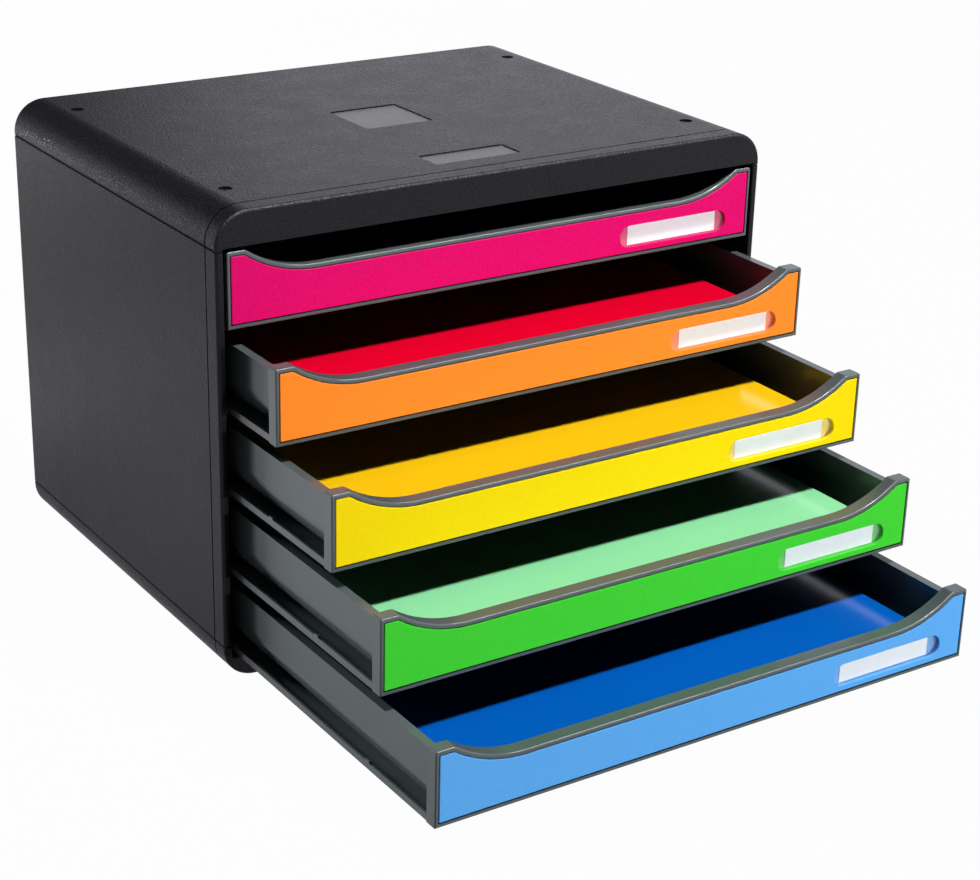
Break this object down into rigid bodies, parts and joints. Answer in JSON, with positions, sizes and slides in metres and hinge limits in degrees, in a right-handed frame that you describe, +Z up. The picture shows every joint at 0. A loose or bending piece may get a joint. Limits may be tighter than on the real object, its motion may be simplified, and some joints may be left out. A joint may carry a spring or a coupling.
{
  "type": "document drawer unit",
  "caption": "Desktop unit of flat sliding drawers for documents: dark grey casing with rounded shoulders, coloured scooped drawer fronts with label windows, paper in the drawers.",
  "frame": {"origin": "middle of the box that the unit fills with its drawers as stored, on the surface it stands on", "axes": "+Z up, drawers open towards -Y, +X to the right seen from the front"},
  "size_m": [0.355, 0.4724, 0.2711],
  "materials": {
    "casing_grey": "fine grained",
    "tray_grey": "satin",
    "front_pink": "satin",
    "front_orange": "satin",
    "front_yellow": "satin",
    "front_green": "satin",
    "front_blue": "satin",
    "window_clear": "clear",
    "card_white": "paper",
    "paper_red": "coated paper",
    "paper_amber": "coated paper",
    "paper_mint": "coated paper",
    "paper_blue": "coated paper",
    "screw_black": "black",
    "foot_rubber": "matte"
  },
  "bodies": {
    "casing": {"top_cover": "casing_grey", "base_cover": "casing_grey", "side_panel_left": "casing_grey", "side_panel_right": "casing_grey", "back_panel": "casing_grey", "cover_screws": "screw_black", "base_screws": "screw_black", "foot_pads": "foot_rubber"},
    "drawer_1": {"drawer_tray_1": "tray_grey", "front_panel_1": "front_pink", "label_window_1": "window_clear", "label_card_1": "card_white"},
    "drawer_2": {"drawer_tray_2": "tray_grey", "front_panel_2": "front_orange", "label_window_2": "window_clear", "label_card_2": "card_white", "paper_stack_2": "paper_red"},
    "drawer_3": {"drawer_tray_3": "tray_grey", "front_panel_3": "front_yellow", "label_window_3": "window_clear", "label_card_3": "card_white", "paper_stack_3": "paper_amber"},
    "drawer_4": {"drawer_tray_4": "tray_grey", "front_panel_4": "front_green", "label_window_4": "window_clear", "label_card_4": "card_white", "paper_stack_4": "paper_mint"},
    "drawer_5": {"drawer_tray_5": "tray_grey", "front_panel_5": "front_blue", "label_window_5": "window_clear", "label_card_5": "card_white", "paper_stack_5": "paper_blue"}
  },
  "joints": [
    {"name": "drawer_1_slide", "type": "slide", "parent": "casing", "child": "drawer_1", "axis": [0, -1, 0], "range_m": [0, 0.21]},
    {"name": "drawer_2_slide", "type": "slide", "parent": "casing", "child": "drawer_2", "axis": [0, -1, 0], "range_m": [-0.05122, 0.15878]},
    {"name": "drawer_3_slide", "type": "slide", "parent": "casing", "child": "drawer_3", "axis": [0, -1, 0], "range_m": [-0.10748, 0.10252]},
    {"name": "drawer_4_slide", "type": "slide", "parent": "casing", "child": "drawer_4", "axis": [0, -1, 0], "range_m": [-0.15464, 0.05536]},
    {"name": "drawer_5_slide", "type": "slide", "parent": "casing", "child": "drawer_5", "axis": [0, -1, 0], "range_m": [-0.20595, 0.00405]}
  ]
}
